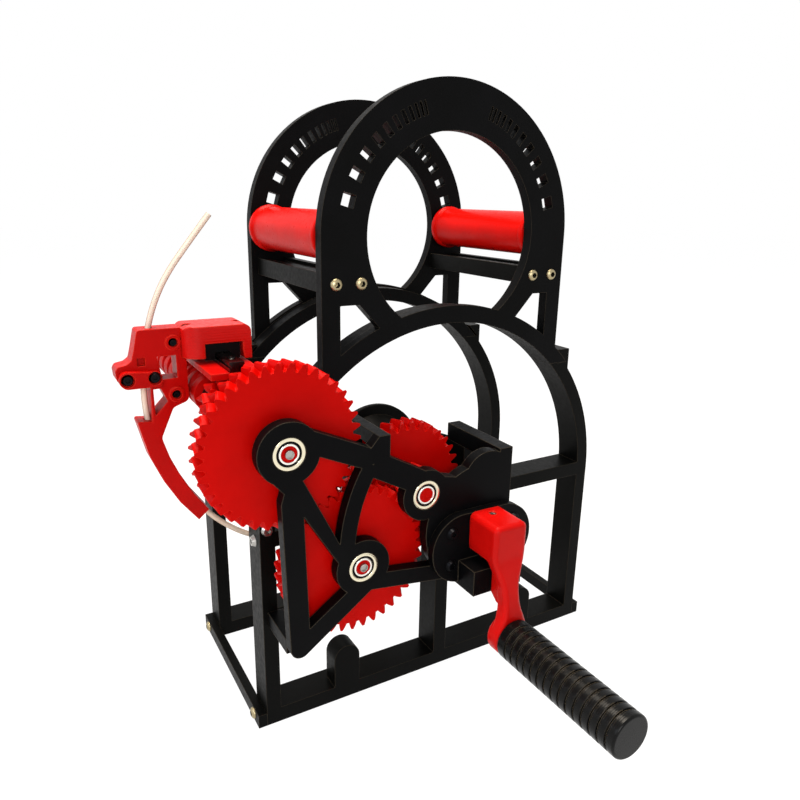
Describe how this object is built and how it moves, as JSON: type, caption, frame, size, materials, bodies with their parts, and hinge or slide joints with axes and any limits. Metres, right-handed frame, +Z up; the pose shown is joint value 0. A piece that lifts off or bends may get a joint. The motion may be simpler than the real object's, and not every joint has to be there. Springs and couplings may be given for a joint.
{
  "type": "filament spool winder",
  "caption": "Hand-cranked winder that moves filament from a full spool on rollers to an empty spool on a shaft, with a gear-driven traverse guide.",
  "frame": {"origin": "middle of the part's bounding box on the surface it stands on", "axes": "+X to the right seen from the crank side, +Y from the crank side to the far frame, +Z up"},
  "size_m": [0.2954, 0.2646, 0.3457],
  "materials": {
    "black_frame_print": "printed plastic with fine layer lines",
    "black_ring_print": "printed plastic with a pebbled face",
    "black_bracket_print": "printed plastic, matte",
    "red_gear_print": "printed plastic, satin",
    "red_crank_print": "printed plastic, satin",
    "red_carriage_print": "printed plastic, satin",
    "red_roller_print": "printed plastic, smooth",
    "red_traverse_print": "printed plastic, satin",
    "black_cone_print": "printed plastic, matte",
    "black_grip_rubber": "ribbed, satin",
    "bearing_steel": "polished rings",
    "zinc_screw": "plated",
    "black_oxide_screw": "black oxide",
    "ground_steel": "ground",
    "black_block_plastic": "moulded",
    "white_strand": "translucent, satin"
  },
  "bodies": {
    "frame": {"near_lower_frame": "black_frame_print", "far_lower_frame": "black_frame_print", "near_spool_ring": "black_ring_print", "far_spool_ring": "black_ring_print", "left_roller_tie": "black_frame_print", "right_roller_tie": "black_frame_print", "tie_screws": "zinc_screw", "left_roller_bearings": "bearing_steel", "left_roller_axle": "ground_steel", "right_roller_bearings": "bearing_steel", "right_roller_axle": "ground_steel", "left_end_bar": "black_frame_print", "right_end_bar": "black_frame_print", "end_bar_screws": "zinc_screw", "post_screws": "zinc_screw", "front_gear_bearings": "bearing_steel", "rear_gear_bearings": "bearing_steel", "crank_shaft_bearings": "bearing_steel", "gearbox_bracket": "black_bracket_print", "crank_housing": "black_bracket_print", "housing_screws": "black_oxide_screw", "rail_beam": "red_carriage_print", "linear_rail": "ground_steel", "rail_screws": "zinc_screw"},
    "crank": {"crank": "red_crank_print", "crank_set_screw": "black_oxide_screw", "spool_shaft": "ground_steel", "crank_pinion": "red_gear_print", "near_spool_cone": "black_cone_print", "far_spool_cone": "black_cone_print", "grip_bolt": "black_oxide_screw"},
    "grip": {"grip": "black_grip_rubber"},
    "idler": {"idler_gear": "red_gear_print", "idler_pinion": "red_gear_print"},
    "middle_gear": {"middle_gear": "red_gear_print", "middle_gear_screw": "zinc_screw"},
    "top_gear": {"top_gear": "red_gear_print", "top_gear_screw": "zinc_screw", "drive_gear": "red_gear_print"},
    "traverse_screw": {"traverse_screw": "red_traverse_print", "screw_pinion": "red_gear_print"},
    "carriage": {"rail_block": "black_block_plastic", "carriage_cover": "red_carriage_print", "cover_screws": "black_oxide_screw", "guide_arm": "red_carriage_print", "clamp_plate": "red_carriage_print", "clamp_screws": "black_oxide_screw", "arm_screws": "black_oxide_screw", "follower_pin": "ground_steel", "strand": "white_strand"},
    "left_roller": {"left_roller": "red_roller_print"},
    "right_roller": {"right_roller": "red_roller_print"}
  },
  "joints": [
    {"name": "crank_spin", "type": "hinge", "parent": "frame", "child": "crank", "pos_m": [0.02608, 0.01845, 0.1143], "axis": [0, 1, 0], "continuous": true},
    {"name": "grip_spin", "type": "hinge", "parent": "crank", "child": "grip", "pos_m": [0.02608, -0.08155, 0.0613], "axis": [0, 1, 0], "continuous": true},
    {"name": "idler_spin", "type": "hinge", "parent": "frame", "child": "idler", "pos_m": [-0.00882, 0.01845, 0.13766], "axis": [0, 1, 0], "continuous": true},
    {"name": "middle_gear_spin", "type": "hinge", "parent": "frame", "child": "middle_gear", "pos_m": [-0.04575, 0.01845, 0.10545], "axis": [0, 1, 0], "continuous": true},
    {"name": "top_gear_spin", "type": "hinge", "parent": "frame", "child": "top_gear", "pos_m": [-0.0838, 0.01845, 0.17354], "axis": [0, 1, 0], "continuous": true},
    {"name": "traverse_screw_spin", "type": "hinge", "parent": "frame", "child": "traverse_screw", "pos_m": [-0.10484, 0.01845, 0.1935], "axis": [0, 1, 0], "continuous": true},
    {"name": "carriage_slide", "type": "slide", "parent": "frame", "child": "carriage", "axis": [0, 1, 0], "range_m": [0, 0.064]},
    {"name": "left_roller_spin", "type": "hinge", "parent": "frame", "child": "left_roller", "pos_m": [-0.03932, 0.07445, 0.2677], "axis": [0, 1, 0], "continuous": true},
    {"name": "right_roller_spin", "type": "hinge", "parent": "frame", "child": "right_roller", "pos_m": [0.09148, 0.07445, 0.2677], "axis": [0, 1, 0], "continuous": true}
  ],
  "couplings": [
    {"joint": "idler_spin", "follows": "crank_spin", "ratio": -0.3125},
    {"joint": "middle_gear_spin", "follows": "crank_spin", "ratio": 0.080128},
    {"joint": "top_gear_spin", "follows": "crank_spin", "ratio": -0.080128},
    {"joint": "traverse_screw_spin", "follows": "crank_spin", "ratio": 0.15224}
  ]
}
